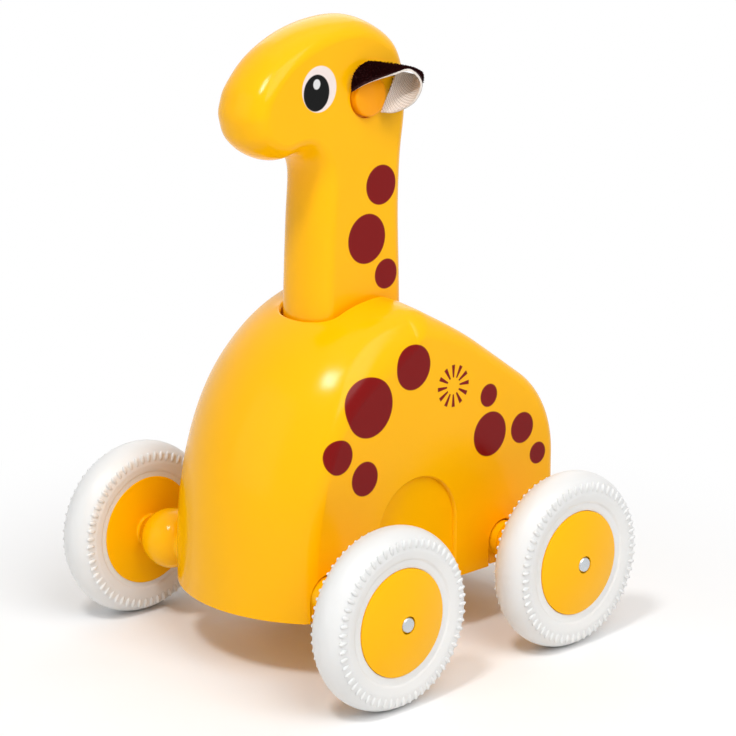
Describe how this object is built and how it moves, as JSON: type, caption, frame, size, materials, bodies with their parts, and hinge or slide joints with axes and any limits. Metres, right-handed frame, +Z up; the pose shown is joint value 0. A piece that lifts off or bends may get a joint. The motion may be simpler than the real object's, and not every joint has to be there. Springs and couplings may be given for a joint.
{
  "type": "press and go toy",
  "caption": "Giraffe-shaped push toy on wheels: pressing the sliding neck into the body works a rack and gear train, and the spring-back drives the rear axle.",
  "frame": {"origin": "on the floor under the middle of the toy, midway between the axles", "axes": "+X forward, the way the face looks; +Y to the toy's left; +Z up"},
  "size_m": [0.1178, 0.119, 0.175],
  "materials": {
    "yellow_plastic": "high-gloss moulded yellow",
    "base_plastic": "satin moulded yellow",
    "works_plastic": "plain moulded acetal",
    "white_tyre": "smooth white with a ribbed shoulder",
    "pile_ribbon": "dark brown pile with a white woven back",
    "steel": "bright drawn wire"
  },
  "bodies": {
    "body": {"body_shell": "yellow_plastic", "base_plate": "base_plastic", "base_screw_front_left": "steel", "base_screw_front_right": "steel", "base_screw_rear_left": "steel", "base_screw_rear_right": "steel", "axle_bush_front_left": "yellow_plastic", "axle_bush_front_right": "yellow_plastic", "axle_bush_rear_left": "yellow_plastic", "axle_bush_rear_right": "yellow_plastic", "gearbox_plate_inner": "works_plastic", "gearbox_plate_outer": "works_plastic", "main_shaft": "steel", "second_shaft": "steel", "return_spring": "steel"},
    "neck": {"head_left": "yellow_plastic", "head_right": "yellow_plastic", "plunger_rack": "works_plastic", "ear_plug_left": "yellow_plastic", "ear_plug_right": "yellow_plastic", "ear_ribbon_left": "pile_ribbon", "ear_ribbon_right": "pile_ribbon"},
    "main_gear": {"main_gear": "works_plastic"},
    "second_gear": {"second_gear": "works_plastic"},
    "clutch": {"clutch_pinion": "works_plastic", "clutch_pin": "steel"},
    "front_axle": {"axle_front": "steel", "hub_front_left": "yellow_plastic", "hub_front_right": "yellow_plastic", "tyre_front_left": "white_tyre", "tyre_front_right": "white_tyre"},
    "rear_axle": {"axle_rear": "steel", "hub_rear_left": "yellow_plastic", "hub_rear_right": "yellow_plastic", "tyre_rear_left": "white_tyre", "tyre_rear_right": "white_tyre", "axle_gear": "works_plastic"}
  },
  "joints": [
    {"name": "neck_slide", "type": "slide", "parent": "body", "child": "neck", "axis": [0, 0, -1], "range_m": [0, 0.022], "stiffness_N_per_m": 300, "springref_m": -0.012, "deforming": ["return_spring"]},
    {"name": "main_gear_spin", "type": "hinge", "parent": "body", "child": "main_gear", "pos_m": [-0.0235, 0, 0.05], "axis": [0, 1, 0], "range_deg": [0, 252.2]},
    {"name": "second_gear_spin", "type": "hinge", "parent": "body", "child": "second_gear", "pos_m": [-0.02244, 0, 0.03484], "axis": [0, 1, 0], "range_deg": [-706, 0]},
    {"name": "clutch_spin", "type": "hinge", "parent": "body", "child": "clutch", "pos_m": [-0.03441, 0, 0.03565], "axis": [0, 1, 0], "range_deg": [0, 1412]},
    {"name": "front_axle_spin", "type": "hinge", "parent": "body", "child": "front_axle", "pos_m": [0.0339, 0, 0.025], "axis": [0, 1, 0], "continuous": true},
    {"name": "rear_axle_spin", "type": "hinge", "parent": "body", "child": "rear_axle", "pos_m": [-0.0339, 0, 0.025], "axis": [0, 1, 0], "continuous": true}
  ],
  "couplings": [
    {"joint": "main_gear_spin", "follows": "neck_slide", "rad_per_m": 200},
    {"joint": "second_gear_spin", "follows": "neck_slide", "rad_per_m": -560},
    {"joint": "clutch_spin", "follows": "neck_slide", "rad_per_m": 1120}
  ]
}
